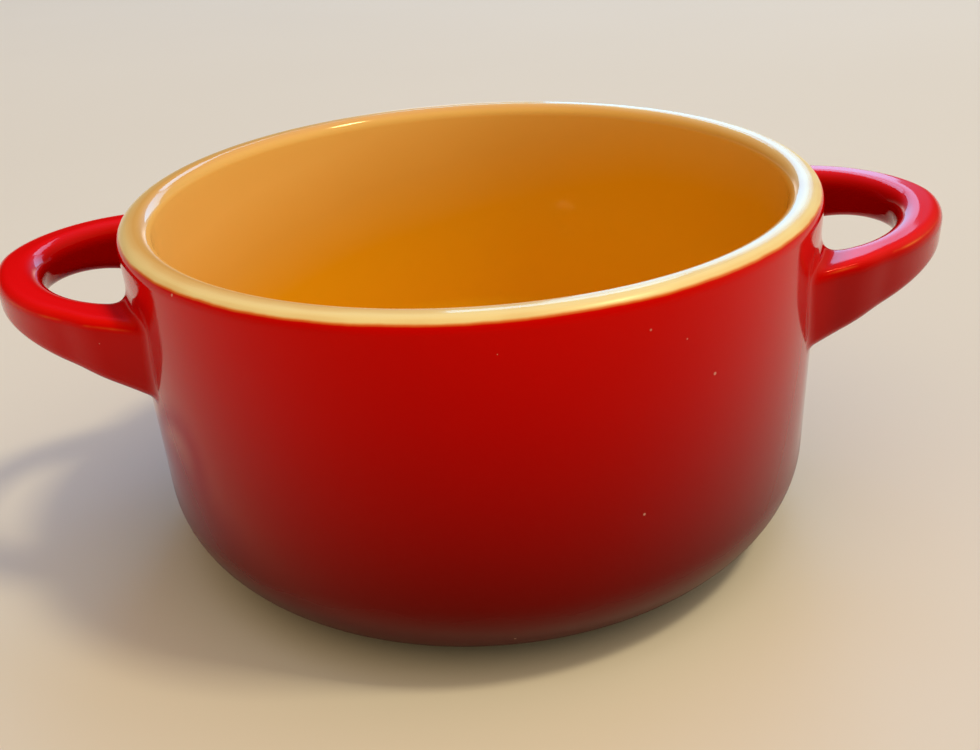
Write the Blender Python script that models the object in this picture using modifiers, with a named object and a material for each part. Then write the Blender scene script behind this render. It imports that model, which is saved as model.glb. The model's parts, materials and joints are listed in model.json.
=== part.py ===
"""Mini cocotte: a round stoneware pot with two loop handles, red outside, tan inside and over the rim.

The pot is one clay body. Each handle is formed by itself and luted to the wall with clay slip, one pad
under each root. The glazes are thin coats over the clay: tan inside and over the rim, red outside and round
the handles, and tan in the recess under the base. The foot ring stays bare.

Metres, +Z up. The origin is the centre of the foot ring, on the surface that the pot stands on. The handles
point along X.
"""

import math

import bmesh
import bpy

# Pot, measured over the glaze
RIM_DIAMETER = 0.100
POT_HEIGHT = 0.0525
WALL_TAPER_DEG = 0.75
WALL_THICKNESS = 0.0046
FLOOR_HEIGHT = 0.0065
RIM_OUTER_ROUND = 0.0020
RIM_INNER_ROUND = 0.0020
BASE_CORNER_RADIUS = 0.0129
INNER_CORNER_RADIUS = 0.0090

# Foot ring
FOOT_DIAMETER = 0.0730
FOOT_WIDTH = 0.0040
FOOT_HEIGHT = 0.0008
FOOT_EDGE = 0.0003
UNDERSIDE_RISE = 0.0012

# Handles, measured over the glaze
HANDLE_REACH = 0.0196
HANDLE_WIDTH = 0.0448
HANDLE_BAND = 0.0064
HANDLE_TOP_DROP = 0.0080
HANDLE_TILT_DEG = 5.4
HANDLE_DRAFT_DEG = 10.0
HANDLE_TIP_DEPTH = 0.0062
HANDLE_ROOT_DEPTH = 0.0105
HANDLE_UNDERSIDE_CURVE = 1.5
HANDLE_EDGE_ROUND = 0.0018
HANDLE_INNER_TOP_ROUND = 0.0028
HANDLE_FLARE_DEG = 15.0
HANDLE_FLARE_ROUND = 0.0080
HANDLE_FLARE_START = 0.0060
HANDLE_SQUARENESS = 1.8
ROOT_FILLET = 0.0024

# Glaze, slip and the gap between pieces that touch
GLAZE_THICKNESS = 0.0005
SLIP_THICKNESS = 0.0005
SEAT_GAP = 0.0003
RIM_GLAZE_DROP = 0.0009

# Fineness of the meshes
TURN_STEPS = 64
ROUND_POINTS = 3
CORNER_POINTS = 5
HALF_STATIONS = 8
FILLET_ROWS = 3
CAP_ROWS = 2
MERGE_DISTANCE = 0.00001
BISECTIONS = 40

# Stations along half a handle run from 0 at the tip, through 1 abreast of the rim, to this far into the wall
LAST_STATION = 2
STATION_STEP = 0.001
ROOT_ROWS_START = 0.97

RING = range(4 * (ROUND_POINTS + 1))

# Worked out from the sizes above
RIM_RADIUS = RIM_DIAMETER / 2
FOOT_RADIUS = FOOT_DIAMETER / 2
TAPER = math.radians(WALL_TAPER_DEG)
CLAY_INSET = GLAZE_THICKNESS + SEAT_GAP
SEAM_HEIGHT = POT_HEIGHT - RIM_GLAZE_DROP
HANDLE_TOP = POT_HEIGHT - HANDLE_TOP_DROP
HANDLE_TIP = RIM_RADIUS + HANDLE_REACH
HANDLE_SEAT = 2 * SEAT_GAP + SLIP_THICKNESS - CLAY_INSET
FLARE = math.radians(HANDLE_FLARE_DEG)


def wall_line(inset):
    """The distance of the wall's outer line from the axis, measured square to the tapered wall."""
    rim_centre = (RIM_RADIUS - RIM_OUTER_ROUND, POT_HEIGHT - RIM_OUTER_ROUND)
    return rim_centre[0] * math.cos(TAPER) - rim_centre[1] * math.sin(TAPER) + RIM_OUTER_ROUND - inset


def on_line(distance, height):
    """The radius at a height of a line parallel to the tapered wall, at that distance from the axis."""
    return (distance + height * math.sin(TAPER)) / math.cos(TAPER)


def arc(radius, height, size, start, end, segments):
    """Points of a circular arc in the (radius, height) plane."""
    angles = [start + (end - start) * i / segments for i in range(segments + 1)]
    return [(radius + size * math.cos(a), height + size * math.sin(a)) for a in angles]


def base_corner():
    """The centre of the arc that turns the wall into the base."""
    height = FOOT_HEIGHT + BASE_CORNER_RADIUS
    return on_line(wall_line(BASE_CORNER_RADIUS), height), height


def inside_outline(inset):
    """The floor, the inner wall and the inner half of the rim, from the axis up to the top of the rim."""
    wall = wall_line(WALL_THICKNESS)
    corner_height = FLOOR_HEIGHT + INNER_CORNER_RADIUS
    corner = on_line(wall - INNER_CORNER_RADIUS, corner_height)
    rim_height = POT_HEIGHT - RIM_INNER_ROUND
    rim = on_line(wall + RIM_INNER_ROUND, rim_height)
    points = [(0, FLOOR_HEIGHT - inset)]
    points += arc(corner, corner_height, INNER_CORNER_RADIUS + inset, -math.pi / 2, -TAPER, CORNER_POINTS)
    points += arc(rim, rim_height, RIM_INNER_ROUND - inset, math.pi - TAPER, math.pi / 2, ROUND_POINTS)
    return points


def outside_outline(inset, end_radius):
    """The outer half of the rim, the outer wall and the base corner, from the rim's top down to a radius."""
    rim = (RIM_RADIUS - RIM_OUTER_ROUND, POT_HEIGHT - RIM_OUTER_ROUND)
    corner, corner_height = base_corner()
    size = BASE_CORNER_RADIUS - inset
    end = -math.acos(min(1, max(0, (end_radius - corner) / size)))
    points = arc(*rim, RIM_OUTER_ROUND - inset, math.pi / 2, -TAPER, ROUND_POINTS)
    points += arc(corner, corner_height, size, -TAPER, end, CORNER_POINTS)
    if end_radius < corner:
        points.append((end_radius, corner_height - size))
    return points


def cut_at(points, height):
    """A falling outline split at a height: the stretch above it and the stretch below it."""
    for i in range(1, len(points)):
        (r0, z0), (r1, z1) = points[i - 1], points[i]
        if z1 < height:
            cut = (r0 + (r1 - r0) * (z0 - height) / (z0 - z1), height)
            return points[:i] + [cut], [cut] + points[i:]
    return points, []


def wall_radius(height, rise):
    """The radius of the outer wall at a height, over the glaze, with the surface raised by so much."""
    corner, corner_height = base_corner()
    rim_height = POT_HEIGHT - RIM_OUTER_ROUND
    if height < corner_height - BASE_CORNER_RADIUS * math.sin(TAPER):
        size = BASE_CORNER_RADIUS + rise
        return corner + math.sqrt(max(0, size**2 - (height - corner_height) ** 2))
    if height > rim_height:
        size = RIM_OUTER_ROUND + rise
        return RIM_RADIUS - RIM_OUTER_ROUND + math.sqrt(max(0, size**2 - (height - rim_height) ** 2))
    return on_line(wall_line(-rise), height)


def on_wall(place, rise):
    """The point of the wall at an angle round the pot and a height."""
    angle, height = place
    radius = wall_radius(height, rise)
    return (radius * math.cos(angle), radius * math.sin(angle), height)


def flare(run):
    """How far an arm's outer face has spread at a distance in from its start: an arc, then a slant."""
    bend = HANDLE_FLARE_ROUND * math.sin(FLARE)
    if run < bend:
        return HANDLE_FLARE_ROUND - math.sqrt(HANDLE_FLARE_ROUND**2 - run**2)
    return HANDLE_FLARE_ROUND * (1 - math.cos(FLARE)) + (run - bend) * math.tan(FLARE)


def handle_outline(s, outer):
    """A point of the handle's outer or inner outline from above: s is 0 at the tip, 1 abreast of the rim."""
    band = 0 if outer else HANDLE_BAND
    length = HANDLE_REACH - band
    half_width = HANDLE_WIDTH / 2 - band
    turn = math.pi / 2 * min(s, 1)
    x = RIM_RADIUS + length * max(0, math.cos(turn)) ** (2 / HANDLE_SQUARENESS)
    x -= max(0, s - 1) * length
    y = half_width * math.sin(turn) ** (2 / HANDLE_SQUARENESS)
    if outer:
        y += flare(max(0, RIM_RADIUS + HANDLE_FLARE_START - x))
    return x, y


def section_ring(width, top, bottom, inset):
    """A handle section: (across, height, normal across, normal up) round a band with rounded edges."""
    half = width / 2
    corners = (
        (half - HANDLE_EDGE_ROUND, bottom + HANDLE_EDGE_ROUND, HANDLE_EDGE_ROUND),
        (half - HANDLE_EDGE_ROUND, top - HANDLE_EDGE_ROUND, HANDLE_EDGE_ROUND),
        (HANDLE_INNER_TOP_ROUND - half, top - HANDLE_INNER_TOP_ROUND, HANDLE_INNER_TOP_ROUND),
        (HANDLE_EDGE_ROUND - half, bottom + HANDLE_EDGE_ROUND, HANDLE_EDGE_ROUND),
    )
    ring = []
    for quarter, (across, height, size) in enumerate(corners):
        for i in range(ROUND_POINTS + 1):
            angle = (quarter - 1 + i / ROUND_POINTS) * math.pi / 2
            normal = (math.cos(angle), math.sin(angle))
            ring.append((across + (size - inset) * normal[0], height + (size - inset) * normal[1], *normal))
    return ring


def handle_point(s, index, inset):
    """A point of the handle's surface and its outward normal, at a station and a place round the section."""
    outer = handle_outline(s, True)
    inner = handle_outline(s, False)
    width = math.dist(outer, inner)
    across = ((outer[0] - inner[0]) / width, (outer[1] - inner[1]) / width)
    middle = ((outer[0] + inner[0]) / 2, (outer[1] + inner[1]) / 2)
    fall = max(0, (HANDLE_TIP - HANDLE_BAND / 2 - middle[0]) / (HANDLE_REACH - HANDLE_BAND / 2))
    top = HANDLE_TOP + (middle[0] - RIM_RADIUS) * math.tan(math.radians(HANDLE_TILT_DEG))
    deepening = (HANDLE_ROOT_DEPTH - HANDLE_TIP_DEPTH) * fall**HANDLE_UNDERSIDE_CURVE
    bottom = top - HANDLE_TIP_DEPTH - deepening
    a, z, na, nz = section_ring(width, top, bottom, inset)[index]
    a -= (top - z) * math.tan(math.radians(HANDLE_DRAFT_DEG)) * fall
    point = (middle[0] + across[0] * a, middle[1] + across[1] * a, z)
    return point, (across[0] * na, across[1] * na, nz)


def height_over_wall(point):
    return math.hypot(point[0], point[1]) - wall_radius(point[2], 0)


def solve(value, low, high):
    """Where a falling function of one number passes through zero."""
    for _ in range(BISECTIONS):
        middle = (low + high) / 2
        if value(middle) > 0:
            low = middle
        else:
            high = middle
    return (low + high) / 2


class HandleLine:
    """One line along the handle's back half, from the tip to where its fillet runs out on the wall."""

    def __init__(self, index, inset):
        self.index = index
        self.inset = inset
        self.start = math.inf
        foot = solve(lambda s: height_over_wall(self.point(s)) + inset, 0, LAST_STATION)
        self.c, normal = handle_point(foot, index, inset)
        angle = math.atan2(self.c[1], self.c[0])
        around = -normal[0] * math.sin(angle) + normal[1] * math.cos(angle)
        size = math.hypot(around, normal[2])
        around, up = around / size, normal[2] / size
        away = (-math.sin(angle) * around, math.cos(angle) * around, up)
        before = self.point(foot - STATION_STEP)
        along = sum((c - p) * w for c, p, w in zip(self.c, before, away))
        turn = math.acos(along / math.dist(before, self.c))
        reach = (ROOT_FILLET + inset) * math.tan(turn / 2)
        self.start = solve(lambda s: math.dist(self.point(s), self.c) - reach, 0, foot)
        self.a = self.point(self.start)
        self.place = (angle + reach * around / math.hypot(self.c[0], self.c[1]), self.c[2] + reach * up)
        self.end_at(self.place)

    def end_at(self, place):
        """Ends the fillet at a place on the wall."""
        self.b = on_wall(place, -self.inset)

    def point(self, s):
        """A point of the line: on the arm up to the fillet's start, then on the fillet for one unit more."""
        if s <= self.start:
            return handle_point(s, self.index, self.inset)[0]
        t = s - self.start
        weights = ((1 - t) ** 2, 2 * t * (1 - t), t**2)
        corners = (self.a, self.c, self.b)
        return tuple(sum(w * p[i] for w, p in zip(weights, corners)) for i in range(3))

    def at_rise(self, rise):
        """Where the line is so high over the wall."""
        return solve(lambda s: height_over_wall(self.point(s)) - rise, 0, self.start + 1)

    def rows(self, bend, rise):
        """Points from the tip along the arm to a bend, then down the root to a height over the wall."""
        end = self.at_rise(rise)
        arm = [bend * i / HALF_STATIONS for i in range(HALF_STATIONS + 1)]
        root = [bend + (end - bend) * i / FILLET_ROWS for i in range(1, FILLET_ROWS + 1)]
        return [self.point(s) for s in arm + root]


def handle_lines(inset):
    """The lines round a handle at an inset, all ending where the handle's coat ends on the wall."""
    lines = [HandleLine(index, inset) for index in RING]
    for line, place in zip(lines, coat_edge()):
        line.end_at(place)
    return lines


def coat_edge():
    """Where a handle's coat ends on the wall, as angles round the pot and heights."""
    return [HandleLine(index, 0).place for index in RING]


def spread_edge(places, distance):
    """A closed outline on the wall, moved outwards by a distance."""
    flat = [(angle * RIM_RADIUS, height) for angle, height in places]
    moved = []
    for i, (u, z) in enumerate(flat):
        (u0, z0), (u1, z1) = flat[i - 1], flat[(i + 1) % len(flat)]
        sides = []
        for du, dz in ((u - u0, z - z0), (u1 - u, z1 - z)):
            length = math.hypot(du, dz)
            sides.append((dz / length, -du / length))
        nu, nz = sides[0][0] + sides[1][0], sides[0][1] + sides[1][1]
        scale = 2 * distance / (nu**2 + nz**2)
        moved.append(((u + nu * scale) / RIM_RADIUS, z + nz * scale))
    return moved


def placed(points, side, back):
    """Points of a right handle's back half, moved to the named side and half."""
    return [(x * side, y * back, z) for x, y, z in points]


def full_rings(inset, rise, side):
    """Rings of points from the front root, round the tip, to the back root, ending so high over the wall."""
    columns = []
    for line, core in zip(handle_lines(inset), handle_lines(CLAY_INSET)):
        bend = ROOT_ROWS_START * min(core.start, core.at_rise(HANDLE_SEAT))
        columns.append(line.rows(bend, rise))
    rows = [[column[i] for column in columns] for i in range(len(columns[0]))]
    front = [placed(row, side, -1) for row in reversed(rows[1:])]
    return front + [placed(row, side, 1) for row in rows]


def cap_rings(ring, rise):
    """Rings that close a ring of points at a height over the wall, shrinking to its middle."""
    places = [(math.atan2(y, x), z) for x, y, z in ring]
    turn = [(a - places[0][0] + math.pi) % (2 * math.pi) - math.pi for a, _ in places]
    middle = (sum(turn) / len(ring), sum(z for _, z in places) / len(ring))
    rings = []
    for row in range(1, CAP_ROWS + 1):
        share = 1 - row / (CAP_ROWS + 1)
        ring_places = [
            (places[0][0] + middle[0] + (a - middle[0]) * share, middle[1] + (z - middle[1]) * share)
            for a, (_, z) in zip(turn, places)
        ]
        rings.append([on_wall(place, rise) for place in ring_places])
    return rings, on_wall((places[0][0] + middle[0], middle[1]), rise)


def lofted(name, rings, ends, closed_loop=False):
    """A solid skinned over rings of points, with a middle point at each end, or joined end to start."""
    mesh = bmesh.new()
    rows = [[mesh.verts.new(point) for point in ring] for ring in rings]
    count = len(rows[0])
    pairs = list(zip(rows, rows[1:]))
    if closed_loop:
        pairs.append((rows[-1], rows[0]))
    for first, second in pairs:
        for i in range(count):
            j = (i + 1) % count
            mesh.faces.new((first[i], first[j], second[j], second[i]))
    for row, end in zip((rows[0], rows[-1]), ends):
        tip = mesh.verts.new(end)
        for i in range(count):
            mesh.faces.new((row[i], row[(i + 1) % count], tip))
    bmesh.ops.recalc_face_normals(mesh, faces=mesh.faces)
    data = bpy.data.meshes.new(name)
    mesh.to_mesh(data)
    mesh.free()
    return bpy.data.objects.new(name, data)


def turned(name, points):
    """A solid of revolution: a profile that a Screw modifier turns about Z."""
    data = bpy.data.meshes.new(name)
    closed = points[0][0] > 0
    edges = [(i, i + 1) for i in range(len(points) - 1)]
    if closed:
        edges.append((len(points) - 1, 0))
    data.from_pydata([(r, 0, z) for r, z in points], edges, [])
    obj = bpy.data.objects.new(name, data)
    screw = obj.modifiers.new("turn", "SCREW")
    screw.axis = "Z"
    screw.steps = TURN_STEPS
    screw.render_steps = TURN_STEPS
    screw.use_merge_vertices = True
    screw.merge_threshold = MERGE_DISTANCE
    return obj


def finish(obj, collection, surface):
    """Puts a piece in its collection with its material, shaded smooth."""
    collection.objects.link(obj)
    if surface:
        obj.data.materials.append(surface)
    obj.data.shade_smooth()
    return obj


def material(name, colour, roughness):
    made = bpy.data.materials.new(name)
    made.use_nodes = True
    shader = made.node_tree.nodes["Principled BSDF"]
    shader.inputs["Base Color"].default_value = (*colour, 1)
    shader.inputs["Roughness"].default_value = roughness
    shader.inputs["Metallic"].default_value = 0
    return made


def pot_body():
    inner_foot = FOOT_RADIUS - FOOT_WIDTH
    ceiling = UNDERSIDE_RISE + CLAY_INSET
    points = inside_outline(CLAY_INSET) + outside_outline(CLAY_INSET, FOOT_RADIUS)
    points += [
        (FOOT_RADIUS, FOOT_EDGE),
        (FOOT_RADIUS - FOOT_EDGE, 0),
        (inner_foot + FOOT_EDGE, 0),
        (inner_foot, FOOT_EDGE),
        (inner_foot, ceiling),
        (0, ceiling),
    ]
    return turned("pot_body", points)


def inner_glaze():
    def face(inset):
        return inside_outline(inset) + cut_at(outside_outline(inset, FOOT_RADIUS), SEAM_HEIGHT)[0]

    return turned("inner_glaze", face(0) + face(GLAZE_THICKNESS)[::-1])


def wall_glaze(cutters):
    """The red coat on the wall, with a window round each handle root."""

    def face(inset):
        return cut_at(outside_outline(inset, FOOT_RADIUS + SEAT_GAP), SEAM_HEIGHT - SEAT_GAP)[1]

    obj = turned("wall_glaze", face(0) + face(GLAZE_THICKNESS)[::-1])
    for cutter in cutters:
        window = obj.modifiers.new(cutter.name, "BOOLEAN")
        window.operation = "DIFFERENCE"
        window.object = cutter
    return obj


def base_glaze():
    radius = FOOT_RADIUS - FOOT_WIDTH - SEAT_GAP
    top = UNDERSIDE_RISE + GLAZE_THICKNESS
    return turned("base_glaze", [(0, top), (radius, top), (radius, UNDERSIDE_RISE), (0, UNDERSIDE_RISE)])


def handle(name, side):
    """The clay of one handle, its roots shaped to the wall and standing off it by the slip."""
    rings = full_rings(CLAY_INSET, HANDLE_SEAT, side)
    front, front_middle = cap_rings(rings[0], HANDLE_SEAT)
    back, back_middle = cap_rings(rings[-1], HANDLE_SEAT)
    return lofted(name, front[::-1] + rings + back, (front_middle, back_middle))


def slip_pad(name, side, back):
    """The pad of slip between one root and the wall, flared as the root's fillet is."""
    low = SEAT_GAP - CLAY_INSET
    high = low + SLIP_THICKNESS
    lines = handle_lines(CLAY_INSET)
    foot = placed([line.point(line.at_rise(low)) for line in lines], side, back)
    head = placed([line.point(line.at_rise(high)) for line in lines], side, back)
    under, under_middle = cap_rings(foot, low)
    over, over_middle = cap_rings(head, high)
    return lofted(name, under[::-1] + [foot, head] + over, (under_middle, over_middle))


def handle_glaze(name, side):
    """The coat round one handle: a sleeve whose ends run out flush with the wall's coat."""
    outside = full_rings(0, 0, side)
    inside = full_rings(GLAZE_THICKNESS, -GLAZE_THICKNESS, side)
    return lofted(name, outside + inside[::-1], (), closed_loop=True)


def window_cutter(name, side, back):
    """A plug through the wall's coat, a gap wider than the end of a handle's coat."""
    places = spread_edge(coat_edge(), SEAT_GAP)
    foot = placed([on_wall(place, -ROOT_FILLET) for place in places], side, back)
    head = placed([on_wall(place, ROOT_FILLET) for place in places], side, back)
    under, under_middle = cap_rings(foot, -ROOT_FILLET)
    over, over_middle = cap_rings(head, ROOT_FILLET)
    return lofted(name, under[::-1] + [foot, head] + over, (under_middle, over_middle))


def main():
    for obj in list(bpy.data.objects):
        bpy.data.objects.remove(obj)
    parts = bpy.data.collections.new("mini_cocotte")
    cutters = bpy.data.collections.new("cutters")
    for collection in (parts, cutters):
        bpy.context.scene.collection.children.link(collection)

    clay = material("stoneware_clay", (0.62, 0.50, 0.37), 0.85)
    slip = material("luting_slip", (0.66, 0.55, 0.42), 0.9)
    red = material("red_glaze", (0.42, 0.004, 0.002), 0.12)
    tan = material("tan_glaze", (0.78, 0.42, 0.12), 0.15)

    sides = (("left", -1), ("right", 1))
    halves = (("front", -1), ("back", 1))
    finish(pot_body(), parts, clay)
    finish(inner_glaze(), parts, tan)
    finish(base_glaze(), parts, tan)
    windows = []
    for side_name, side in sides:
        finish(handle(f"handle_{side_name}", side), parts, clay)
        finish(handle_glaze(f"handle_{side_name}_glaze", side), parts, red)
        for half_name, back in halves:
            finish(slip_pad(f"slip_{side_name}_{half_name}", side, back), parts, slip)
            window = finish(window_cutter(f"window_{side_name}_{half_name}", side, back), cutters, None)
            window.hide_render = True
            window.display_type = "WIRE"
            windows.append(window)
    finish(wall_glaze(windows), parts, red)


main()
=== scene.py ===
"""Mini cocotte in studio light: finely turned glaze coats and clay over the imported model.

The coats repeat the outlines of the solids, in metres, with many more points, so that the gloss runs smoothly.
Heights are over the surface that the pot stands on, and the handles point along X.
"""

import json
import math

import bpy
import numpy as np
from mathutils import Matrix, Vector

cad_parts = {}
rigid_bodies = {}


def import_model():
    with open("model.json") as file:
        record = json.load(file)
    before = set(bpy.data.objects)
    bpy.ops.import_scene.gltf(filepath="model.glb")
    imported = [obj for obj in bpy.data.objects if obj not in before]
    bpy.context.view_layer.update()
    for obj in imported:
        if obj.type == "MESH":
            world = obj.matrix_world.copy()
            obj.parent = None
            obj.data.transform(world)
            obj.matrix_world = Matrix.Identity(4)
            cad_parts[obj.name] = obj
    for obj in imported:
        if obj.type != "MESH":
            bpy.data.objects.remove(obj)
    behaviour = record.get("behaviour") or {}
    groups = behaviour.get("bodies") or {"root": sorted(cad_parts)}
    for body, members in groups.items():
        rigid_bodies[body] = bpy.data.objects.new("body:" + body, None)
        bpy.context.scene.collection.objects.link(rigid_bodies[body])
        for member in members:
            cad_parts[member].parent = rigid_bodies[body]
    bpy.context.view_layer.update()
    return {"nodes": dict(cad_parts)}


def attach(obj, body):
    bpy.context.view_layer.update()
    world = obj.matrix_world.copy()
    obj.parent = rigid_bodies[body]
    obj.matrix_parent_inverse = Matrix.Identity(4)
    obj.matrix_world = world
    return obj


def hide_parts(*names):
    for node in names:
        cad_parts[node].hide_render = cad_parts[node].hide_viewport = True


for startup_object in list(bpy.data.objects):
    bpy.data.objects.remove(startup_object)

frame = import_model()

# Pot, measured over the glaze
RIM_RADIUS = 0.050
POT_HEIGHT = 0.0525
TAPER = math.radians(0.75)
WALL_THICKNESS = 0.0046
FLOOR_HEIGHT = 0.0065
RIM_ROUND = 0.0020
BASE_CORNER_RADIUS = 0.0129
INNER_CORNER_RADIUS = 0.0090
FOOT_RADIUS = 0.0365
FOOT_WIDTH = 0.0040
FOOT_HEIGHT = 0.0008
FOOT_EDGE = 0.0004
UNDERSIDE_RISE = 0.0012

# Handles, measured over the glaze
HANDLE_REACH = 0.0196
HANDLE_HALF_WIDTH = 0.0224
HANDLE_BAND = 0.0064
HANDLE_TOP = POT_HEIGHT - 0.0080
HANDLE_TILT = math.tan(math.radians(5.4))
HANDLE_DRAFT = math.tan(math.radians(10.0))
HANDLE_TIP_DEPTH = 0.0062
HANDLE_ROOT_DEPTH = 0.0105
HANDLE_UNDERSIDE_CURVE = 1.5
HANDLE_EDGE_ROUND = 0.0018
HANDLE_INNER_TOP_ROUND = 0.0028
HANDLE_FLARE = math.radians(15.0)
HANDLE_FLARE_ROUND = 0.0080
HANDLE_FLARE_START = 0.0060
HANDLE_SQUARENESS = 1.8
ROOT_FILLET = 0.0024

# Glaze and clay
GLAZE_THICKNESS = 0.0005
CLAY_INSET = 0.0008
SEAM_HEIGHT = POT_HEIGHT - 0.0009
GLAZE_LINE = 0.0004
GLAZE_LINE_WAVER = 0.00022
GLAZE_LINE_WAVES = ((5, 0.8, 1.0), (11, 2.1, 0.6), (23, 0.0, 0.4))  # waves round the foot, start, size
BASE_COAT_GAP = 0.0001
BASE_COAT_LIP = (  # inward, down
    (0.0, 0.0003),
    (0.0001, 0.00035),
    (0.0004, 0.0002),
    (0.0009, 0.00005),
    (0.0018, 0.0),
)
BASE_COAT_FLAT_MARGIN = 0.004
BASE_COAT_FLAT_CENTRE = 0.002

# Fineness of the meshes
TURN_STEPS = 256
CORNER_STEPS = 28
RIM_STEPS = 12
WALL_STEPS = 20
EDGE_STEPS = 8
FLAT_STEPS = 5
ARM_STEPS = 44
FILLET_STEPS = 12
FOOT_STEPS = 5
BASE_COAT_RINGS = 14
BISECTIONS = 36
HANDLE_RUN = 2
STEP_BACK = 0.001
ON_AXIS = 1e-9
SHARP_ANGLE = math.radians(50)


def wall_line(inset):
    """The distance of the wall's outer line from the axis, measured square to the tapered wall."""
    across = (RIM_RADIUS - RIM_ROUND) * math.cos(TAPER)
    return across - (POT_HEIGHT - RIM_ROUND) * math.sin(TAPER) + RIM_ROUND - inset


def on_line(distance, height):
    """The radius at a height of a line parallel to the tapered wall."""
    return (distance + height * math.sin(TAPER)) / math.cos(TAPER)


def arc(radius, height, size, start, end, steps):
    """Points of a circular arc in the (radius, height) plane."""
    angles = np.linspace(start, end, steps + 1)
    return [(radius + size * math.cos(a), height + size * math.sin(a)) for a in angles]


def stretch(first, last, steps):
    """Points between two points, without the two themselves."""
    shares = np.linspace(0, 1, steps + 1)[1:-1]
    return [(first[0] + (last[0] - first[0]) * s, first[1] + (last[1] - first[1]) * s) for s in shares]


def inside_outline(inset):
    """The floor, the inner wall and the inner half of the rim, from the axis up to the top of the rim."""
    wall = wall_line(WALL_THICKNESS)
    corner_height = FLOOR_HEIGHT + INNER_CORNER_RADIUS
    corner = on_line(wall - INNER_CORNER_RADIUS, corner_height)
    rim_height = POT_HEIGHT - RIM_ROUND
    rim = on_line(wall + RIM_ROUND, rim_height)
    floor = [(0.0, FLOOR_HEIGHT - inset)]
    bend = arc(corner, corner_height, INNER_CORNER_RADIUS + inset, -math.pi / 2, -TAPER, CORNER_STEPS)
    lip = arc(rim, rim_height, RIM_ROUND - inset, math.pi - TAPER, math.pi / 2, RIM_STEPS)
    return floor + stretch(floor[0], bend[0], WALL_STEPS) + bend + stretch(bend[-1], lip[0], WALL_STEPS) + lip


def outside_outline(inset, end_radius):
    """The outer half of the rim, the outer wall and the base corner, from the rim's top down to a radius."""
    corner_height = FOOT_HEIGHT + BASE_CORNER_RADIUS
    corner = on_line(wall_line(BASE_CORNER_RADIUS), corner_height)
    size = BASE_CORNER_RADIUS - inset
    end = -math.acos(min(1, max(0, (end_radius - corner) / size)))
    lip = arc(RIM_RADIUS - RIM_ROUND, POT_HEIGHT - RIM_ROUND, RIM_ROUND - inset, math.pi / 2, -TAPER, RIM_STEPS)
    bend = arc(corner, corner_height, size, -TAPER, end, CORNER_STEPS)
    points = lip + stretch(lip[-1], bend[0], WALL_STEPS) + bend
    if end_radius < corner:
        points.append((end_radius, corner_height - size))
    return points


def cut_at(points, height):
    """A falling outline split at a height: the stretch above it and the stretch below it."""
    for i in range(1, len(points)):
        (r0, z0), (r1, z1) = points[i - 1], points[i]
        if z1 < height:
            cut = (r0 + (r1 - r0) * (z0 - height) / (z0 - z1), height)
            return points[:i] + [cut], [cut] + points[i:]
    return points, []


def wall_radius(height):
    """The radius of the outer wall over the glaze, between the base corner and the rim."""
    return on_line(wall_line(0), height)


def flare(run):
    """How far an arm's outer face has spread at a distance in from its start: an arc, then a slant."""
    bend = HANDLE_FLARE_ROUND * math.sin(HANDLE_FLARE)
    if run < bend:
        return HANDLE_FLARE_ROUND - math.sqrt(HANDLE_FLARE_ROUND**2 - run**2)
    return HANDLE_FLARE_ROUND * (1 - math.cos(HANDLE_FLARE)) + (run - bend) * math.tan(HANDLE_FLARE)


def handle_outline(s, outer):
    """A point of the handle's outline from above: s is 0 at the tip, 1 abreast of the rim."""
    band = 0 if outer else HANDLE_BAND
    length = HANDLE_REACH - band
    turn = math.pi / 2 * min(s, 1)
    x = RIM_RADIUS + length * max(0, math.cos(turn)) ** (2 / HANDLE_SQUARENESS) - max(0, s - 1) * length
    y = (HANDLE_HALF_WIDTH - band) * math.sin(turn) ** (2 / HANDLE_SQUARENESS)
    if outer:
        y += flare(max(0, RIM_RADIUS + HANDLE_FLARE_START - x))
    return x, y


def band_places():
    """Places round a handle's section: the corner, the turn through it and the share of the flat after it."""
    places = []
    for corner in range(4):
        places += [(corner, i / EDGE_STEPS, 0) for i in range(EDGE_STEPS + 1)]
        places += [(corner, 1, i / FLAT_STEPS) for i in range(1, FLAT_STEPS)]
    return places


def band_point(width, top, bottom, inset, place):
    """A point of a handle's section and its normal, as (across, height, normal across, normal up)."""
    half = width / 2
    edge, grip = HANDLE_EDGE_ROUND, HANDLE_INNER_TOP_ROUND
    centres = (
        (half - edge, bottom + edge, edge),
        (half - edge, top - edge, edge),
        (grip - half, top - grip, grip),
        (edge - half, bottom + edge, edge),
    )
    corner, turn, share = place
    angle = (corner - 1 + turn) * math.pi / 2
    normal = (math.cos(angle), math.sin(angle))
    ends = []
    for across, height, size in (centres[corner], centres[(corner + 1) % 4]):
        ends.append((across + (size - inset) * normal[0], height + (size - inset) * normal[1]))
    across = ends[0][0] + (ends[1][0] - ends[0][0]) * share
    height = ends[0][1] + (ends[1][1] - ends[0][1]) * share
    return across, height, *normal


def handle_point(s, place, inset):
    """A point of the handle's surface and its outward normal."""
    outer = handle_outline(s, True)
    inner = handle_outline(s, False)
    width = math.dist(outer, inner)
    across = ((outer[0] - inner[0]) / width, (outer[1] - inner[1]) / width)
    middle = ((outer[0] + inner[0]) / 2, (outer[1] + inner[1]) / 2)
    reach = HANDLE_REACH - HANDLE_BAND / 2
    fall = max(0, (RIM_RADIUS + reach - middle[0]) / reach)
    top = HANDLE_TOP + (middle[0] - RIM_RADIUS) * HANDLE_TILT
    deepening = (HANDLE_ROOT_DEPTH - HANDLE_TIP_DEPTH) * fall**HANDLE_UNDERSIDE_CURVE
    a, z, na, nz = band_point(width, top, top - HANDLE_TIP_DEPTH - deepening, inset, place)
    a -= (top - z) * HANDLE_DRAFT * fall
    return (middle[0] + across[0] * a, middle[1] + across[1] * a, z), (across[0] * na, across[1] * na, nz)


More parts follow.
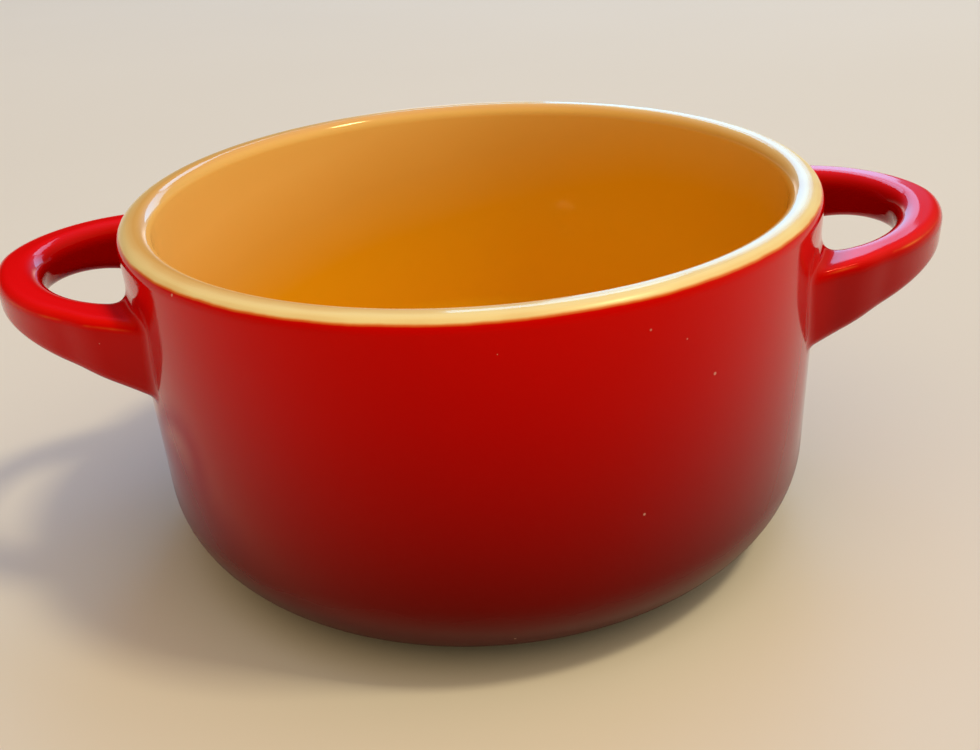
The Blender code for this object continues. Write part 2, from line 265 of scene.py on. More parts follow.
def solve(value, low, high):
    """Where a falling function of one number passes through zero."""
    for _ in range(BISECTIONS):
        middle = (low + high) / 2
        if value(middle) > 0:
            low = middle
        else:
            high = middle
    return (low + high) / 2


def root_of(place, inset):
    """Where a line along an arm leaves it for the root's fillet, the arm's foot, and the fillet's end on the wall."""

    def rise(s):
        x, y, z = handle_point(s, place, inset)[0]
        return math.hypot(x, y) - wall_radius(z) + inset

    foot = solve(rise, 0, HANDLE_RUN)
    corner, normal = handle_point(foot, place, inset)
    angle = math.atan2(corner[1], corner[0])
    around = normal[1] * math.cos(angle) - normal[0] * math.sin(angle)
    size = math.hypot(around, normal[2])
    around, up = around / size, normal[2] / size
    away = (-math.sin(angle) * around, math.cos(angle) * around, up)
    before = handle_point(foot - STEP_BACK, place, inset)[0]
    along = sum((c - b) * w for c, b, w in zip(corner, before, away))
    reach = (ROOT_FILLET + inset) * math.tan(math.acos(along / math.dist(before, corner)) / 2)
    start = solve(lambda s: math.dist(handle_point(s, place, inset)[0], corner) - reach, 0, foot)
    return start, corner, (angle + reach * around / math.hypot(corner[0], corner[1]), corner[2] + reach * up)


def arm_line(place, inset, end):
    """Points along half a handle from the tip to the root, down the fillet, to its end on the wall."""
    start, corner, _ = root_of(place, inset)
    points = [handle_point(start * i / ARM_STEPS, place, inset)[0] for i in range(ARM_STEPS + 1)]
    radius = wall_radius(end[1]) - inset
    last = (radius * math.cos(end[0]), radius * math.sin(end[0]), end[1])
    first = points[-1]
    for i in range(1, FILLET_STEPS + 1):
        t = i / FILLET_STEPS
        weights = ((1 - t) ** 2, 2 * t * (1 - t), t**2)
        points.append(tuple(sum(w * p[k] for w, p in zip(weights, (first, corner, last))) for k in range(3)))
    return points


def mesh_piece(name, points, faces, material, node_names):
    """A smooth piece of the object, standing for CAD nodes and riding on the one body."""
    data = bpy.data.meshes.new(name)
    data.from_pydata([tuple(p) for p in points], [], faces)
    data.shade_smooth()
    data.set_sharp_from_angle(angle=SHARP_ANGLE)
    data.materials.append(material)
    piece = bpy.data.objects.new(name, data)
    bpy.context.scene.collection.objects.link(piece)
    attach(piece, "root")
    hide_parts(*node_names)
    return piece


def turned_points(outlines):
    """Vertices and faces of a closed profile turned about Z, with one outline for each step of the turn."""
    steps, count = len(outlines), len(outlines[0])
    points, rows = [], []
    for column in range(count):
        on_axis = outlines[0][column][0] < ON_AXIS
        row = []
        for step in range(1 if on_axis else steps):
            angle = 2 * math.pi * step / steps
            r, z = outlines[step][column]
            row.append(len(points))
            points.append((r * math.cos(angle), r * math.sin(angle), z))
        rows.append(row * steps if on_axis else row)
    closed = outlines[0][0][0] > ON_AXIS
    faces = []
    for k in range(count if closed else count - 1):
        low, high = rows[k], rows[(k + 1) % count]
        for i in range(steps):
            j = (i + 1) % steps
            corners = []
            for vertex in (low[i], high[i], high[j], low[j]):
                if vertex not in corners:
                    corners.append(vertex)
            faces.append(corners)
    return points, faces


def turned(name, outline, material, node_names):
    """A turned piece of one outline."""
    points, faces = turned_points([outline] * TURN_STEPS)
    return mesh_piece(name, points, faces, material, node_names)


# Shader groups


def shader_group(name, inputs, outputs):
    """An empty shader node group with named sockets."""
    tree = bpy.data.node_groups.new(name, "ShaderNodeTree")
    for socket, kind, value in inputs:
        made = tree.interface.new_socket(name=socket, in_out="INPUT", socket_type=kind)
        made.default_value = value
    for socket, kind in outputs:
        tree.interface.new_socket(name=socket, in_out="OUTPUT", socket_type=kind)
    return tree, tree.nodes.new("NodeGroupInput"), tree.nodes.new("NodeGroupOutput")


def node(tree, kind, settings=None, **links):
    """A shader node with its settings, and its inputs set to values or joined to other nodes' outputs."""
    made = tree.nodes.new(kind)
    for key, value in (settings or {}).items():
        setattr(made, key, value)
    for key, value in links.items():
        socket = made.inputs[int(key[1:])] if key[1:].isdigit() else made.inputs[key.replace("_", " ")]
        if isinstance(value, bpy.types.NodeSocket):
            tree.links.new(value, socket)
        else:
            socket.default_value = value
    return made


def maths(tree, operation, *values, clamp=False):
    """The output of a Math node."""
    links = {f"i{k}": value for k, value in enumerate(values)}
    return node(tree, "ShaderNodeMath", {"operation": operation, "use_clamp": clamp}, **links).outputs[0]


def mixed(tree, factor, first, second, blend="MIX"):
    """The output of a colour Mix node."""
    made = tree.nodes.new("ShaderNodeMix")
    made.data_type = "RGBA"
    made.blend_type = blend
    for socket, value in ((made.inputs[0], factor), (made.inputs[6], first), (made.inputs[7], second)):
        if isinstance(value, bpy.types.NodeSocket):
            tree.links.new(value, socket)
        else:
            socket.default_value = value
    return made.outputs[2]


def ramp(tree, factor, stops):
    """The colour output of a Color Ramp with the given stops."""
    made = tree.nodes.new("ShaderNodeValToRGB")
    tree.links.new(factor, made.inputs[0])
    elements = made.color_ramp.elements
    while len(elements) < len(stops):
        elements.new(0.5)
    for element, (position, colour) in zip(elements, stops):
        element.position = position
        element.color = (*colour, 1)
    return made.outputs[0]


def object_place(tree):
    """A point's place on its piece, and the place's X, Y and Z."""
    place = node(tree, "ShaderNodeTexCoord").outputs["Object"]
    return place, node(tree, "ShaderNodeSeparateXYZ", Vector=place).outputs


def axis_distance(tree, parts):
    """A point's distance from the pot's axis."""
    squares = [maths(tree, "POWER", parts[k], 2.0) for k in range(2)]
    return maths(tree, "POWER", maths(tree, "ADD", *squares), 0.5)


def swing_of(tree, place, scale, detail, size):
    """A noise that swings to both sides of zero."""
    noise = node(tree, "ShaderNodeTexNoise", Vector=place, Scale=scale, Detail=detail).outputs[0]
    return maths(tree, "MULTIPLY", maths(tree, "SUBTRACT", noise, 0.5), size)


def share_between(tree, value, low, high):
    """How far a value has come from one number to another, held between 0 and 1."""
    span = maths(tree, "SUBTRACT", high, low)
    return maths(tree, "DIVIDE", maths(tree, "SUBTRACT", value, low), span, clamp=True)


def height_group():
    """How far up between two heights a point is, with an uneven edge and a slope along X."""
    tree, given, out = shader_group(
        "height_share",
        [
            ("Low", "NodeSocketFloat", 0.0),
            ("High", "NodeSocketFloat", 0.05),
            ("Waver", "NodeSocketFloat", 0.0),
            ("Waver Scale", "NodeSocketFloat", 60.0),
            ("Slope", "NodeSocketFloat", 0.0),
        ],
        [("Share", "NodeSocketFloat")],
    )
    place, parts = object_place(tree)
    tilt = maths(tree, "MULTIPLY", parts["X"], given.outputs["Slope"])
    height = maths(tree, "ADD", parts["Z"], tilt)
    swing = swing_of(tree, place, given.outputs["Waver Scale"], 2.0, given.outputs["Waver"])
    moved = maths(tree, "ADD", height, swing)
    share = share_between(tree, moved, given.outputs["Low"], given.outputs["High"])
    tree.links.new(share, out.inputs["Share"])
    return tree


def speck_group():
    """Small scattered spots: a mask of them, for pinholes and grains."""
    tree, given, out = shader_group(
        "glaze_specks",
        [
            ("Spacing", "NodeSocketFloat", 0.006),
            ("Size", "NodeSocketFloat", 0.00025),
            ("Share Kept", "NodeSocketFloat", 0.3),
        ],
        [("Mask", "NodeSocketFloat")],
    )
    place = node(tree, "ShaderNodeTexCoord").outputs["Object"]
    scale = maths(tree, "DIVIDE", 1.0, given.outputs["Spacing"])
    cells = node(tree, "ShaderNodeTexVoronoi", Vector=place, Scale=scale)
    size = maths(tree, "DIVIDE", given.outputs["Size"], given.outputs["Spacing"])
    chance = node(tree, "ShaderNodeSeparateColor", Color=cells.outputs["Color"])
    spread = maths(tree, "MULTIPLY", size, maths(tree, "ADD", chance.outputs[1], 0.35))
    near = maths(tree, "SUBTRACT", 1.0, maths(tree, "DIVIDE", cells.outputs["Distance"], spread), clamp=True)
    kept = maths(tree, "LESS_THAN", chance.outputs[0], given.outputs["Share Kept"])
    mask = maths(tree, "MULTIPLY", maths(tree, "MULTIPLY", near, 3.0, clamp=True), kept)
    tree.links.new(mask, out.inputs["Mask"])
    return tree


def cloud_group():
    """Soft uneven clouds for colour, gloss and the slow waves of a fired glaze."""
    tree, given, out = shader_group(
        "glaze_clouds",
        [("Scale", "NodeSocketFloat", 80.0), ("Detail", "NodeSocketFloat", 3.0)],
        [("Cloud", "NodeSocketFloat")],
    )
    place = node(tree, "ShaderNodeTexCoord").outputs["Object"]
    noise = node(
        tree, "ShaderNodeTexNoise", Vector=place, Scale=given.outputs["Scale"], Detail=given.outputs["Detail"]
    )
    tree.links.new(noise.outputs[0], out.inputs["Cloud"])
    return tree


def radius_group():
    """How far out between two radii a point is, with rings that may lie a little off centre along X."""
    tree, given, out = shader_group(
        "radius_share",
        [
            ("Inner", "NodeSocketFloat", 0.0),
            ("Outer", "NodeSocketFloat", 0.05),
            ("Lean", "NodeSocketFloat", 0.0),
        ],
        [("Share", "NodeSocketFloat")],
    )
    _, parts = object_place(tree)
    shift = maths(tree, "MULTIPLY", parts["X"], given.outputs["Lean"])
    radius = maths(tree, "ADD", axis_distance(tree, parts), shift)
    share = share_between(tree, radius, given.outputs["Inner"], given.outputs["Outer"])
    tree.links.new(share, out.inputs["Share"])
    return tree


def streak_group():
    """Fine lines that run round the pot, left by wiping and dipping, broken up along their length."""
    tree, given, out = shader_group(
        "rim_streaks",
        [("Fineness", "NodeSocketFloat", 1500.0), ("Break Up", "NodeSocketFloat", 120.0)],
        [("Streak", "NodeSocketFloat")],
    )
    place, parts = object_place(tree)
    ring = node(tree, "ShaderNodeCombineXYZ", X=axis_distance(tree, parts), Y=parts["Z"]).outputs[0]
    lines = node(tree, "ShaderNodeTexNoise", Vector=ring, Scale=given.outputs["Fineness"], Detail=2.0)
    patches = node(tree, "ShaderNodeTexNoise", Vector=place, Scale=given.outputs["Break Up"], Detail=1.0)
    streak = maths(tree, "MULTIPLY", lines.outputs[0], patches.outputs[0])
    tree.links.new(streak, out.inputs["Streak"])
    return tree


def bleed_group():
    """Where the red coat covers the outside of the rim, with a soft and slightly wavering edge."""
    tree, given, out = shader_group(
        "rim_bleed",
        [
            ("Edge", "NodeSocketFloat", SEAM_HEIGHT),
            ("Softness", "NodeSocketFloat", 0.0006),
            ("Waver", "NodeSocketFloat", 0.0003),
            ("Least Radius", "NodeSocketFloat", 0.0),
        ],
        [("Red", "NodeSocketFloat")],
    )
    place, parts = object_place(tree)
    outside = maths(tree, "GREATER_THAN", axis_distance(tree, parts), given.outputs["Least Radius"])
    swing = swing_of(tree, place, 220.0, 3.0, given.outputs["Waver"])
    fall = maths(tree, "SUBTRACT", maths(tree, "ADD", given.outputs["Edge"], swing), parts["Z"])
    share = maths(tree, "ADD", maths(tree, "DIVIDE", fall, given.outputs["Softness"]), 0.5, clamp=True)
    tree.links.new(maths(tree, "MULTIPLY", share, outside), out.inputs["Red"])
    return tree


HEIGHT_SHARE = height_group()
GLAZE_SPECKS = speck_group()
GLAZE_CLOUDS = cloud_group()
RADIUS_SHARE = radius_group()
RIM_STREAKS = streak_group()
RIM_BLEED = bleed_group()


def placed_group(tree, group, **values):
    """The first output of a shader group placed in a material with its own values."""
    made = tree.nodes.new("ShaderNodeGroup")
    made.node_tree = group
    for key, value in values.items():
        made.inputs[key.replace("_", " ")].default_value = value
    return made.outputs[0]


def new_material(name):
    """A material's node tree and its Principled shader."""
    made = bpy.data.materials.new(name)
    made.use_nodes = True
    return made, made.node_tree, made.node_tree.nodes["Principled BSDF"]


# Colours of the glazes and the clay, some with painted light and shade in them: by the share of the height, or one
# colour
# Red from foot to rim: the glaze darkens downwards, and the near-black foot adds painted shade
RED_AND_PAINTED_SHADE_BY_HEIGHT = (
    (0.00, (0.016, 0.0003, 0.0002)),
    (0.15, (0.070, 0.0004, 0.0002)),
    (0.42, (0.27, 0.0006, 0.0002)),
    (0.78, (0.53, 0.0008, 0.0002)),
    (1.00, (0.66, 0.0016, 0.0003)),
)
# Tan up the inner wall with painted light: deep amber low down paints shade and light bounced in the bowl, the paler
# bluer top paints the lit front wall mirrored in the glaze
TAN_AND_PAINTED_LIGHT_BY_HEIGHT = (
    (0.00, (0.84, 0.42, 0.004)),
    (0.54, (0.85, 0.43, 0.006)),
    (0.62, (0.86, 0.45, 0.035)),
    (0.78, (0.88, 0.50, 0.097)),
    (1.00, (1.00, 0.62, 0.180)),
)
THIN_TAN_BY_HEIGHT = ((0.0, (0.80, 0.47, 0.14)), (1.0, (0.84, 0.50, 0.16)))
# Painted light: the handles' tops lit brighter than the wall's red
PAINTED_LIGHT_TOP_RED = (0.85, 0.0012, 0.0003, 1)
# Painted shade: dark red for the handles' enclosed inner faces and the right handle's outer face
PAINTED_SHADE_RED = (0.16, 0.0006, 0.0003, 1)
RIM_TAN = (0.83, 0.43, 0.115, 1)
RIM_CREAM = (0.97, 0.74, 0.33, 1)
RIM_ORANGE = (0.86, 0.24, 0.030, 1)
# Orange of the glaze broken over the handles' outer edges, partly a painted highlight of the lamp along them
EDGE_ORANGE_AND_HIGHLIGHT = (0.86, 0.20, 0.030, 1)
SPECK_PALE = (0.80, 0.50, 0.38, 1)
TAN_CLOUD = (0.86, 0.42, 0.05, 1)
TAN_GRAIN = (0.62, 0.27, 0.05, 1)
CLAY_GRAIN = (0.22, 0.13, 0.07, 1)

# How strongly each effect shows
TAN_CLOUD_SHARE = 0.12
TAN_GRAIN_SHARE = 0.45
RED_SPECK_SHARE = 0.6
CLAY_GRAIN_SHARE = 0.6
RIM_DRYNESS = 0.22
FOOT_DRYNESS = 0.40

# Rings on the rim, as distances in from its outer edge
RIM_TURN = (0.0046, 0.0038)
RIM_CREST = (0.0035, 0.0017)
RIM_DRY = (0.0013, 0.0004)

# Bleeding over the rim, as the distance of the edge above the seam and its softness
ORANGE_BLEED = (0.00022, 0.00022)
RED_BLEED = (0.00005, 0.00030)

# Gloss
TAN_IOR = 1.5
TAN_GLOSS_TINT = (1.0, 0.80, 0.55, 1)
RED_IOR = 1.35
RED_GLOSS_TINT = (1.0, 0.10, 0.04, 1)


def glaze_surface(tree, shader, colour, dry, *, wave_scale, wave_strength, smoothest, roughest):
    """Joins a glaze's colour, its gloss and its slow waves to the shader. Where it is dry it shines less."""
    tree.links.new(colour, shader.inputs["Base Color"])
    gloss = placed_group(tree, GLAZE_CLOUDS, Scale=140.0, Detail=4.0)
    spread = node(tree, "ShaderNodeMapRange", i0=gloss, i3=smoothest, i4=roughest).outputs[0]
    tree.links.new(maths(tree, "ADD", spread, dry), shader.inputs["Roughness"])
    slow = placed_group(tree, GLAZE_CLOUDS, Scale=wave_scale, Detail=1.0)
    bump = node(tree, "ShaderNodeBump", Strength=wave_strength, Distance=0.001, Height=slow)
    tree.links.new(bump.outputs[0], shader.inputs["Normal"])


def rim_ring(tree, ring, lean=0.0):
    """A ring on the rim: 0 inside it, 1 outside it."""
    inner, outer = (RIM_RADIUS - distance for distance in ring)
    return placed_group(tree, RADIUS_SHARE, Inner=inner, Outer=outer, Lean=lean)


def rim_tan(tree, stops=TAN_AND_PAINTED_LIGHT_BY_HEIGHT):
    """The tan glaze's colour: paler where it thins over the rim; up the inner wall a ramp of painted light and shade,
    deep amber low down, paler and bluer near the top and paler on the left.
    """
    # Painted light: the slope along X makes the left of the inner wall paler, where the lamp from the right falls
    height = placed_group(
        tree, HEIGHT_SHARE, Low=0.008, High=POT_HEIGHT, Waver=0.003, Waver_Scale=45.0, Slope=-0.23
    )
    colour = ramp(tree, height, stops)
    cloud = placed_group(tree, GLAZE_CLOUDS, Scale=55.0, Detail=3.0)
    colour = mixed(tree, maths(tree, "MULTIPLY", cloud, TAN_CLOUD_SHARE), colour, TAN_CLOUD)
    turn = rim_ring(tree, RIM_TURN)
    crest = rim_ring(tree, RIM_CREST, lean=0.020)
    streaks = placed_group(tree, RIM_STREAKS, Fineness=1500.0, Break_Up=120.0)
    wiped = node(tree, "ShaderNodeMapRange", i0=streaks, i1=0.18, i2=0.36, i3=0.0, i4=0.40).outputs[0]
    cream = mixed(tree, wiped, RIM_CREAM, RIM_TAN)
    return mixed(tree, crest, mixed(tree, turn, colour, RIM_TAN), cream)


def red_body(tree):
    """The red glaze's colour: bright under the rim, near black at the foot, partly the glaze's own darkening and
    partly painted shade on the low wall that faces the floor.
    """
    height = placed_group(tree, HEIGHT_SHARE, Low=0.001, High=0.050, Waver=0.004, Waver_Scale=30.0)
    colour = ramp(tree, height, RED_AND_PAINTED_SHADE_BY_HEIGHT)
    specks = placed_group(tree, GLAZE_SPECKS, Spacing=0.0042, Size=0.00019, Share_Kept=0.50)
    return mixed(tree, maths(tree, "MULTIPLY", specks, RED_SPECK_SHARE), colour, SPECK_PALE)


def covered_rim(tree, tan, red, least_radius):
    """Tan passing through orange into red, down over the outside of the rim."""
    colour = tan
    for (above, softness), bled in ((ORANGE_BLEED, RIM_ORANGE), (RED_BLEED, red)):
        values = {"Edge": SEAM_HEIGHT + above, "Softness": softness, "Waver": 0.0003, "Least_Radius": least_radius}
        colour = mixed(tree, placed_group(tree, RIM_BLEED, **values), colour, bled)
    return colour


def tan_glaze(name, stops):
    """The tan glaze, with few dark grains, drier on the outer edge of the rim."""
    made, tree, shader = new_material(name)
    colour = covered_rim(tree, rim_tan(tree, stops), red_body(tree), RIM_RADIUS - RIM_ROUND)
    grains = placed_group(tree, GLAZE_SPECKS, Spacing=0.011, Size=0.00022, Share_Kept=0.08)
    colour = mixed(tree, maths(tree, "MULTIPLY", grains, TAN_GRAIN_SHARE), colour, TAN_GRAIN)
    dry = maths(tree, "MULTIPLY", rim_ring(tree, RIM_DRY, lean=0.035), RIM_DRYNESS)
    glaze_surface(
        tree, shader, colour, dry, wave_scale=75.0, wave_strength=0.09, smoothest=0.05, roughest=0.10
    )
    shader.inputs["IOR"].default_value = TAN_IOR
    shader.inputs["Specular Tint"].default_value = TAN_GLOSS_TINT
    return made


def red_glaze():
    """The red glaze, with painted light on the handles' tops, painted shade on their sides, broken orange and a
    painted highlight on their outer edges, drier towards the foot.
    """
    made, tree, shader = new_material("red_glaze")
    red = red_body(tree)
    # Painted light on the handles' tops and painted shade on their sides, from marks on the mesh
    for name, colour in (("painted_light_top", PAINTED_LIGHT_TOP_RED), ("painted_shade_sides", PAINTED_SHADE_RED)):
        share = node(tree, "ShaderNodeAttribute", {"attribute_name": name}).outputs["Fac"]
        red = mixed(tree, share, red, colour)
    # The orange edge line: partly broken glaze, partly painted highlight
    edge = node(tree, "ShaderNodeAttribute", {"attribute_name": "broken_edge_and_highlight"}).outputs["Fac"]
    cloud = placed_group(tree, GLAZE_CLOUDS, Scale=160.0)
    gaps = node(tree, "ShaderNodeMapRange", i0=cloud, i1=0.40, i2=0.62).outputs[0]
    broken = maths(tree, "MULTIPLY", maths(tree, "POWER", edge, 2.0), gaps)
    red = mixed(tree, broken, red, EDGE_ORANGE_AND_HIGHLIGHT)
    colour = covered_rim(tree, rim_tan(tree), red, 0.0)
    foot = placed_group(tree, HEIGHT_SHARE, Low=0.020, High=0.003, Waver=0.003, Waver_Scale=40.0)
    dry = maths(tree, "MULTIPLY", foot, FOOT_DRYNESS)
    glaze_surface(
        tree, shader, colour, dry, wave_scale=60.0, wave_strength=0.06, smoothest=0.05, roughest=0.11
    )
    shader.inputs["IOR"].default_value = RED_IOR
    shader.inputs["Specular Tint"].default_value = RED_GLOSS_TINT
    return made


def bare_clay(name, pale, dark):
    """Unglazed clay: cloudy, grainy and rough."""
    made, tree, shader = new_material(name)
    cloud = placed_group(tree, GLAZE_CLOUDS, Scale=180.0, Detail=5.0)
    colour = mixed(tree, cloud, dark, pale)
    grains = placed_group(tree, GLAZE_SPECKS, Spacing=0.0022, Size=0.00022, Share_Kept=0.45)
    colour = mixed(tree, maths(tree, "MULTIPLY", grains, CLAY_GRAIN_SHARE), colour, CLAY_GRAIN)
    tree.links.new(colour, shader.inputs["Base Color"])
    sand = placed_group(tree, GLAZE_CLOUDS, Scale=1500.0, Detail=4.0)
    rough = node(tree, "ShaderNodeMapRange", i0=sand, i3=0.75, i4=0.95)
    tree.links.new(rough.outputs[0], shader.inputs["Roughness"])
    bump = node(tree, "ShaderNodeBump", Strength=0.35, Distance=0.0003, Height=sand)
    tree.links.new(bump.outputs[0], shader.inputs["Normal"])
    return made


TAN = tan_glaze("tan_glaze", TAN_AND_PAINTED_LIGHT_BY_HEIGHT)
THIN_TAN = tan_glaze("thin_tan_glaze", THIN_TAN_BY_HEIGHT)
RED = red_glaze()
CLAY = bare_clay("stoneware_clay", pale=(0.66, 0.53, 0.39, 1), dark=(0.54, 0.41, 0.28, 1))
SLIP = bare_clay("luting_slip", pale=(0.70, 0.59, 0.46, 1), dark=(0.60, 0.48, 0.35, 1))


# Pieces


def inner_coat():
    """The tan coat over the floor, the inner wall and the rim."""

    def face(inset):
        return inside_outline(inset) + cut_at(outside_outline(inset, FOOT_RADIUS), SEAM_HEIGHT)[0][1:]

    outline = face(0) + face(GLAZE_THICKNESS)[::-1]
    return turned("inner_coat", outline, TAN, ["inner_glaze"])


def wall_coat():
    """The red coat on the wall, ending in an uneven glaze line above the foot."""
    outlines = []
    for step in range(TURN_STEPS):
        angle = 2 * math.pi * step / TURN_STEPS
        waver = sum(size * math.sin(count * angle + start) for count, start, size in GLAZE_LINE_WAVES)
        end = FOOT_RADIUS + GLAZE_LINE + GLAZE_LINE_WAVER * waver / 2
        outer = cut_at(outside_outline(0, end), SEAM_HEIGHT)[1]
        inner = cut_at(outside_outline(GLAZE_THICKNESS, end), SEAM_HEIGHT)[1]
        outlines.append(outer + inner[::-1])
    points, faces = turned_points(outlines)
    return mesh_piece("wall_coat", points, faces, RED, ["wall_glaze"])


# How the painted light, the painted shade and the broken orange edge with its painted highlight lie on the handles'
# red glaze, in rings of the mesh and in shares
ROOT_FADE_RINGS = 6
TIP_CLEAR_RINGS = 6
ARM_FADE_RINGS = 16
# Painted shade on the handles' faces: inside, and less of it towards the tip
PAINTED_SHADE_INSIDE = 0.6
PAINTED_SHADE_TIP_SHARE = 0.3
BROKEN_EDGE_AND_HIGHLIGHT_SHARE = 0.8
OUTER_TOP_CORNER = 1


def paint_handle(piece, places, ring_count, thick_outside, top_fade, edge_turn):
    """Marks where painted light brightens a handle's top, painted shade darkens its sides, and its outer edge is
    broken orange with a painted highlight.
    """
    marks = {"painted_light_top": [], "painted_shade_sides": [], "broken_edge_and_highlight": []}
    layer = ring_count // 2
    for k in range(ring_count):
        from_root = min(k % layer, layer - 1 - k % layer)
        from_tip = FILLET_STEPS + ARM_STEPS - from_root
        away = min(1, max(0, (from_root - FILLET_STEPS) / ROOT_FADE_RINGS))
        arm = min(1, max(0, (from_tip - TIP_CLEAR_RINGS) / ARM_FADE_RINGS))
        outside = thick_outside * away * (PAINTED_SHADE_TIP_SHARE + (1 - PAINTED_SHADE_TIP_SHARE) * arm)
        for corner, turn, _ in places:
            angle = (corner - 1 + turn) * math.pi / 2
            broken = corner == OUTER_TOP_CORNER and turn == edge_turn
            # Painted shade on the inner faces, and on the outer face where asked
            side_shade = outside if math.cos(angle) > 0 else PAINTED_SHADE_INSIDE
            # Painted light on the top, faded near the root
            marks["painted_light_top"].append(max(0, math.sin(angle)) ** top_fade * away)
            marks["painted_shade_sides"].append(side_shade * math.cos(angle) ** 2)
            # Broken orange edge with a painted highlight, along the arms and not round the tip
            marks["broken_edge_and_highlight"].append(BROKEN_EDGE_AND_HIGHLIGHT_SHARE * away * arm if broken else 0)
    for attribute, values in marks.items():
        piece.data.attributes.new(attribute, "FLOAT", "POINT").data.foreach_set("value", values)


def handle_coat(name, node_name, side, **paint):
    """The red coat round one handle, its roots running out on the wall's coat."""
    places = band_places()
    ends = [root_of(place, 0)[2] for place in places]
    layers = []
    for inset in (0, GLAZE_THICKNESS):
        lines = [arm_line(place, inset, end) for place, end in zip(places, ends)]
        rows = [[line[i] for line in lines] for i in range(len(lines[0]))]
        front = [[(x * side, -y, z) for x, y, z in row] for row in reversed(rows[1:])]
        back = [[(x * side, y, z) for x, y, z in row] for row in rows]
        layers.append(front + back)
    rings = layers[0] + layers[1][::-1]
    points = [point for ring in rings for point in ring]
    count = len(places)
    faces = []
    for k in range(len(rings)):
        first, second = k * count, (k + 1) % len(rings) * count
        for i in range(count):
            j = (i + 1) % count
            corners = (first + i, first + j, second + j, second + i)
            faces.append(corners if side > 0 else corners[::-1])
    piece = mesh_piece(name, points, faces, RED, [node_name])
    paint_handle(piece, places, len(rings), **paint)
    return piece


def base_coat():
    """The tan coat in the recess under the base, turned up where it meets the foot."""
    radius = FOOT_RADIUS - FOOT_WIDTH - BASE_COAT_GAP
    top = UNDERSIDE_RISE + GLAZE_THICKNESS
    outline = [(0.0, top), (radius, top)]
    outline += [(radius - inward, UNDERSIDE_RISE - down) for inward, down in BASE_COAT_LIP]
    rings = np.linspace(radius - BASE_COAT_FLAT_MARGIN, BASE_COAT_FLAT_CENTRE, BASE_COAT_RINGS)
    outline += [(r, UNDERSIDE_RISE) for r in rings] + [(0.0, UNDERSIDE_RISE)]
    return turned("base_coat", outline, THIN_TAN, ["base_glaze"])


def clay_body():
    """The clay of the pot, bare at the foot ring."""
    inner_foot = FOOT_RADIUS - FOOT_WIDTH
    ceiling = UNDERSIDE_RISE + CLAY_INSET
    outline = inside_outline(CLAY_INSET) + outside_outline(CLAY_INSET, FOOT_RADIUS)[1:]
    outline += arc(FOOT_RADIUS - FOOT_EDGE, FOOT_EDGE, FOOT_EDGE, 0, -math.pi / 2, FOOT_STEPS)
    outline += arc(inner_foot + FOOT_EDGE, FOOT_EDGE, FOOT_EDGE, -math.pi / 2, -math.pi, FOOT_STEPS)
    outline += [(inner_foot, ceiling), (0.0, ceiling)]
    return turned("clay_body", outline, CLAY, ["pot_body"])


inner_coat()
wall_coat()
base_coat()
clay_body()
# edge_turn places each handle's orange edge line with its painted highlight
handle_coat("handle_left_coat", "handle_left_glaze", -1, thick_outside=0.0, top_fade=0.8, edge_turn=0.25)
# The right handle's outer face gets painted shade
handle_coat("handle_right_coat", "handle_right_glaze", 1, thick_outside=0.4, top_fade=2.0, edge_turn=0.5)
for name, cad_node in frame["nodes"].items():
    if name.startswith("slip") or name in ("handle_left", "handle_right"):
        cad_node.data.materials.clear()
        cad_node.data.materials.append(SLIP if name.startswith("slip") else CLAY)


# Studio


SKY = (  # what shines, its direction, how narrow it is, colour
    ("overhead back", (0.0, 0.36, 0.93), 9, (0.02, 0.22, 0.64)),
    ("overhead right", (0.70, -0.05, 0.71), 4, (0.85, 0.69, 0.55)),
    ("overhead front", (-0.15, -0.60, 0.78), 4, (0.25, 0.37, 0.23)),
    ("overhead front left", (-0.45, -0.45, 0.77), 6, (0.70, 0.35, 0.09)),
    ("zenith", (0.0, 0.0, 1.0), 4, (0.56, 0.51, 0.48)),
    ("room on the left", (-0.98, -0.10, 0.20), 8, (0.26, 0.20, 0.16)),
    ("room on the right", (0.93, -0.05, 0.36), 8, (0.18, 0.21, 0.09)),
    ("window glow", (0.22, 0.93, 0.30), 45, (0.20, 0.65, 1.2)),
    ("pale strip behind", (0.0, 1.0, 0.06), 260, (1.3, 1.2, 1.1)),
)
HORIZON_PALE = (0.50, 0.435, 0.365, 1)
HORIZON_SHARPNESS = 75.0
ROOM_DARK = (0.01, 0.01, 0.01, 1)
LAMP_AIM = (0, 0, 0.04)
LAMPS = (  # name, place, size, power, colour, whether the glaze mirrors it
    ("window", (0.53, 1.95, 0.64), (0.69, 0.78), 5.1, (0.22, 0.60, 1.0), True),
    ("upper_window", (0.24, 1.73, 1.20), (0.56, 0.42), 3.6, (0.22, 0.60, 1.0), True),
    ("warm_lamp", (1.12, -0.30, 2.24), (0.33, 0.33), 21.4, (1.0, 0.90, 0.58), True),
    ("back_fill", (0.50, 1.16, 1.54), (1.10, 1.10), 7.4, (0.11, 0.39, 1.0), False),
)
FLOOR_REACH = 14.0
FLOOR_COLOURS = ((0.74, 0.655, 0.56, 1), (0.77, 0.685, 0.59, 1))
CAMERA_PLACE = (-0.00285, -0.15312, 0.09820)
CAMERA_TURN = (62.971, 3.251, -3.220)
CAMERA_LENS = 39.557
CAMERA_SENSOR = 36.0
CAMERA_RANGE = (0.005, 20.0)


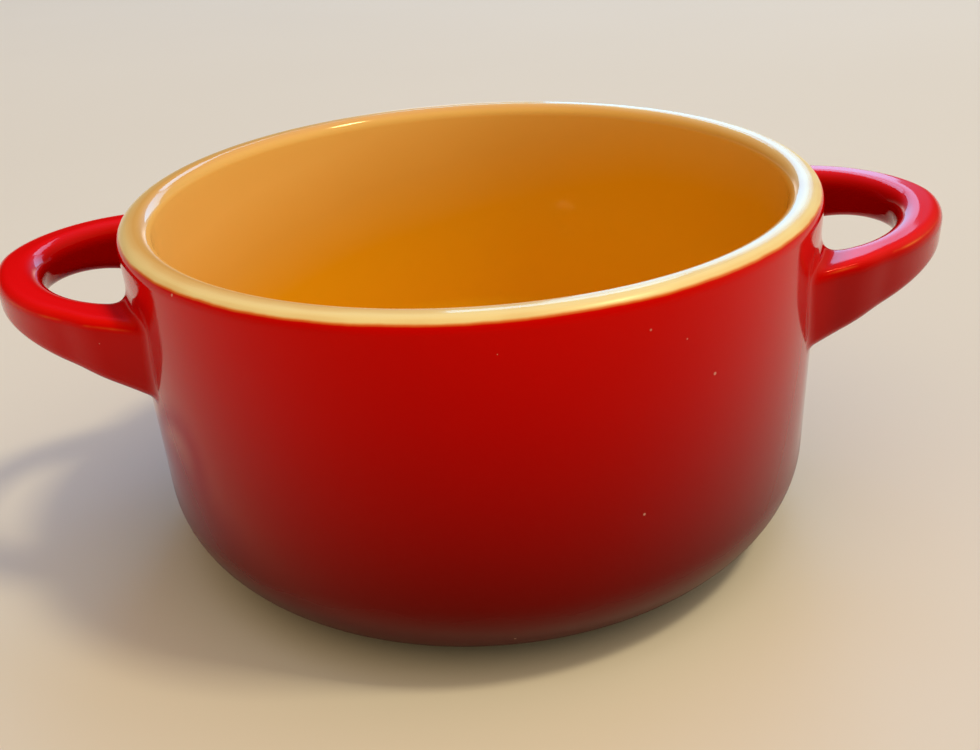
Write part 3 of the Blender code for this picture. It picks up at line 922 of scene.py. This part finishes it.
def pale_floor():
    """A wide pale floor that keeps the pot's shadow."""
    made, tree, shader = new_material("pale_floor")
    cloud = placed_group(tree, GLAZE_CLOUDS, Scale=6.0, Detail=2.0)
    colour = mixed(tree, cloud, *FLOOR_COLOURS)
    tree.links.new(colour, shader.inputs["Base Color"])
    shader.inputs["Roughness"].default_value = 0.9
    shader.inputs["Specular IOR Level"].default_value = 0.1
    data = bpy.data.meshes.new("studio_floor")
    corners = [(x * FLOOR_REACH, y * FLOOR_REACH, 0) for x, y in ((-1, -1), (1, -1), (1, 1), (-1, 1))]
    data.from_pydata(corners, [], [(0, 1, 2, 3)])
    data.materials.append(made)
    floor = bpy.data.objects.new("studio_floor", data)
    bpy.context.scene.collection.objects.link(floor)


def soft_lamp(name, place, size, power, colour, in_gloss):
    """A rectangular soft box, which the glaze mirrors or not."""
    lamp = bpy.data.lights.new(name, "AREA")
    lamp.shape = "RECTANGLE"
    lamp.size, lamp.size_y = size
    lamp.energy = power
    lamp.color = colour
    obj = bpy.data.objects.new(name, lamp)
    obj.location = place
    obj.rotation_euler = (Vector(LAMP_AIM) - Vector(place)).to_track_quat("-Z", "Y").to_euler()
    obj.visible_glossy = in_gloss
    bpy.context.scene.collection.objects.link(obj)


def studio_world():
    """Soft light from several sides of the room, each a broad lobe about its direction, over a pale horizon."""
    world = bpy.data.worlds.new("studio_world")
    bpy.context.scene.world = world
    world.use_nodes = True
    tree = world.node_tree
    way = node(tree, "ShaderNodeTexCoord").outputs["Generated"]
    rise = node(tree, "ShaderNodeSeparateXYZ", Vector=way).outputs["Z"]
    level = maths(tree, "SUBTRACT", 1.0, maths(tree, "MULTIPLY", rise, rise))
    total = mixed(tree, maths(tree, "POWER", level, HORIZON_SHARPNESS), ROOM_DARK, HORIZON_PALE)
    for _, axis, power, colour in SKY:
        axis = Vector(axis).normalized()
        toward = node(tree, "ShaderNodeVectorMath", {"operation": "DOT_PRODUCT"}, i0=way, i1=axis)
        share = maths(tree, "POWER", maths(tree, "MAXIMUM", toward.outputs["Value"], 0.0), float(power))
        total = mixed(tree, share, total, (*colour, 1), "ADD")
    tree.links.new(total, tree.nodes["Background"].inputs["Color"])
    tree.nodes["Background"].inputs["Strength"].default_value = 1.0


def photo_camera():
    """The camera of the photograph."""
    camera = bpy.data.cameras.new("photo_camera")
    camera.sensor_width = CAMERA_SENSOR
    camera.lens = CAMERA_LENS
    camera.clip_start, camera.clip_end = CAMERA_RANGE
    obj = bpy.data.objects.new("photo_camera", camera)
    obj.location = CAMERA_PLACE
    obj.rotation_euler = tuple(math.radians(a) for a in CAMERA_TURN)
    bpy.context.scene.collection.objects.link(obj)
    bpy.context.scene.camera = obj


pale_floor()
for lamp in LAMPS:
    soft_lamp(*lamp)
studio_world()
photo_camera()
bpy.context.scene.view_settings.view_transform = "Standard"
